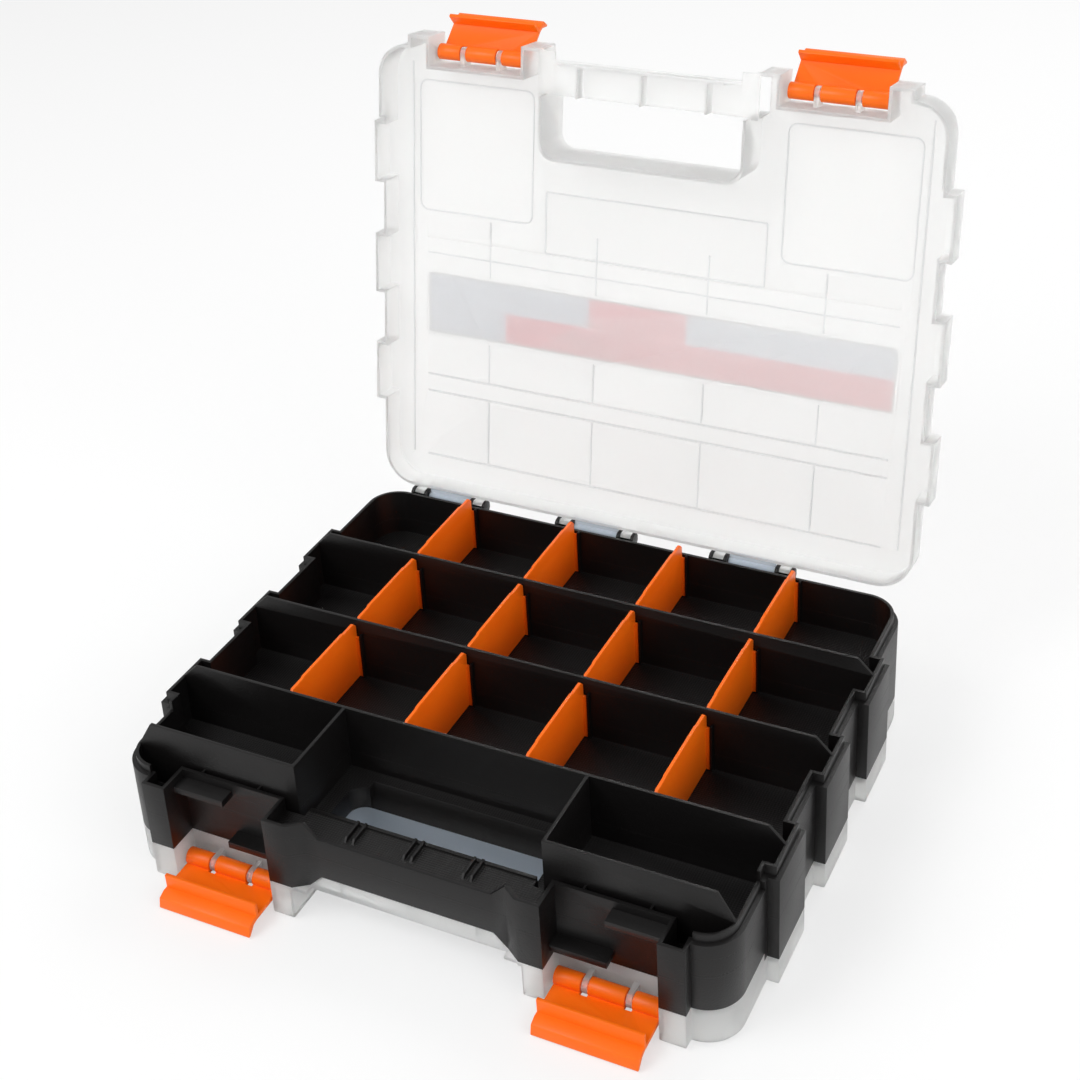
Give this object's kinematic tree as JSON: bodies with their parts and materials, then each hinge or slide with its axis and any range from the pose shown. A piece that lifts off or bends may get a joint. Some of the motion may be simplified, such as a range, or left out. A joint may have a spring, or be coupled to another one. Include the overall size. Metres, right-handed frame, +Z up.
{
  "type": "double-sided organizer box",
  "caption": "Flat carrying case open on both faces: a walled tray between two hinged clear lids with swing latches, sliding dividers and a built-in hand hole.",
  "frame": {"origin": "middle of the flat outer face of the closed lower lid, on which the box lies", "axes": "+X to the right along the front with the handle, +Y to the hinges at the rear, +Z up"},
  "size_m": [0.32, 0.3545, 0.3304],
  "materials": {
    "tray": "black moulded polypropylene, fine texture",
    "lid": "translucent natural polypropylene",
    "orange": "orange moulded polypropylene, satin",
    "label": "printed film with plain colour bands"
  },
  "bodies": {
    "tray_body": {"tray_front_left": "tray", "tray_front_mid": "tray", "tray_front_right": "tray", "tray_centre_left": "tray", "tray_centre_mid": "tray", "tray_centre_right": "tray", "tray_rear_left": "tray", "tray_rear_mid": "tray", "tray_rear_right": "tray", "lower_divider_1_1": "orange", "lower_divider_1_2": "orange", "lower_divider_1_3": "orange", "lower_divider_1_4": "orange", "lower_divider_2_1": "orange", "lower_divider_2_2": "orange", "lower_divider_2_3": "orange", "lower_divider_2_4": "orange", "lower_divider_3_1": "orange", "lower_divider_3_2": "orange", "lower_divider_3_3": "orange", "lower_divider_3_4": "orange"},
    "upper_lid_body": {"upper_lid_rim": "lid", "upper_lid_panel": "lid", "lid_label": "label"},
    "lower_lid_body": {"lower_lid_rim": "lid", "lower_lid_panel": "lid"},
    "upper_left_latch_body": {"upper_left_latch": "orange"},
    "upper_right_latch_body": {"upper_right_latch": "orange"},
    "lower_left_latch_body": {"lower_left_latch": "orange"},
    "lower_right_latch_body": {"lower_right_latch": "orange"},
    "upper_divider_1_1_body": {"upper_divider_1_1": "orange"},
    "upper_divider_1_2_body": {"upper_divider_1_2": "orange"},
    "upper_divider_1_3_body": {"upper_divider_1_3": "orange"},
    "upper_divider_1_4_body": {"upper_divider_1_4": "orange"},
    "upper_divider_2_1_body": {"upper_divider_2_1": "orange"},
    "upper_divider_2_2_body": {"upper_divider_2_2": "orange"},
    "upper_divider_2_3_body": {"upper_divider_2_3": "orange"},
    "upper_divider_2_4_body": {"upper_divider_2_4": "orange"},
    "upper_divider_3_1_body": {"upper_divider_3_1": "orange"},
    "upper_divider_3_2_body": {"upper_divider_3_2": "orange"},
    "upper_divider_3_3_body": {"upper_divider_3_3": "orange"},
    "upper_divider_3_4_body": {"upper_divider_3_4": "orange"}
  },
  "joints": [
    {"name": "upper_lid_hinge", "type": "hinge", "parent": "tray_body", "child": "upper_lid_body", "pos_m": [0, 0.1291, 0.062], "axis": [-1, 0, 0], "range_deg": [-99, 0]},
    {"name": "lower_lid_hinge", "type": "hinge", "parent": "tray_body", "child": "lower_lid_body", "pos_m": [0, 0.1291, 0.014], "axis": [1, 0, 0], "range_deg": [0, 99]},
    {"name": "upper_left_latch_pivot", "type": "hinge", "parent": "upper_lid_body", "child": "upper_left_latch_body", "pos_m": [-0.097, 0.17353, 0.31375], "axis": [-1, 0, 0], "range_deg": [-132, 0]},
    {"name": "upper_right_latch_pivot", "type": "hinge", "parent": "upper_lid_body", "child": "upper_right_latch_body", "pos_m": [0.097, 0.17353, 0.31375], "axis": [-1, 0, 0], "range_deg": [-132, 0]},
    {"name": "lower_left_latch_pivot", "type": "hinge", "parent": "lower_lid_body", "child": "lower_left_latch_body", "pos_m": [-0.097, -0.1265, 0.0095], "axis": [1, 0, 0], "range_deg": [-91, 41]},
    {"name": "lower_right_latch_pivot", "type": "hinge", "parent": "lower_lid_body", "child": "lower_right_latch_body", "pos_m": [0.097, -0.1265, 0.0095], "axis": [1, 0, 0], "range_deg": [-91, 41]},
    {"name": "upper_divider_1_1_slide", "type": "slide", "parent": "tray_body", "child": "upper_divider_1_1_body", "axis": [0, 0, 1], "range_m": [0, 0.045]},
    {"name": "upper_divider_1_2_slide", "type": "slide", "parent": "tray_body", "child": "upper_divider_1_2_body", "axis": [0, 0, 1], "range_m": [0, 0.045]},
    {"name": "upper_divider_1_3_slide", "type": "slide", "parent": "tray_body", "child": "upper_divider_1_3_body", "axis": [0, 0, 1], "range_m": [0, 0.045]},
    {"name": "upper_divider_1_4_slide", "type": "slide", "parent": "tray_body", "child": "upper_divider_1_4_body", "axis": [0, 0, 1], "range_m": [0, 0.045]},
    {"name": "upper_divider_2_1_slide", "type": "slide", "parent": "tray_body", "child": "upper_divider_2_1_body", "axis": [0, 0, 1], "range_m": [0, 0.045]},
    {"name": "upper_divider_2_2_slide", "type": "slide", "parent": "tray_body", "child": "upper_divider_2_2_body", "axis": [0, 0, 1], "range_m": [0, 0.045]},
    {"name": "upper_divider_2_3_slide", "type": "slide", "parent": "tray_body", "child": "upper_divider_2_3_body", "axis": [0, 0, 1], "range_m": [0, 0.045]},
    {"name": "upper_divider_2_4_slide", "type": "slide", "parent": "tray_body", "child": "upper_divider_2_4_body", "axis": [0, 0, 1], "range_m": [0, 0.045]},
    {"name": "upper_divider_3_1_slide", "type": "slide", "parent": "tray_body", "child": "upper_divider_3_1_body", "axis": [0, 0, 1], "range_m": [0, 0.045]},
    {"name": "upper_divider_3_2_slide", "type": "slide", "parent": "tray_body", "child": "upper_divider_3_2_body", "axis": [0, 0, 1], "range_m": [0, 0.045]},
    {"name": "upper_divider_3_3_slide", "type": "slide", "parent": "tray_body", "child": "upper_divider_3_3_body", "axis": [0, 0, 1], "range_m": [0, 0.045]},
    {"name": "upper_divider_3_4_slide", "type": "slide", "parent": "tray_body", "child": "upper_divider_3_4_body", "axis": [0, 0, 1], "range_m": [0, 0.045]}
  ]
}
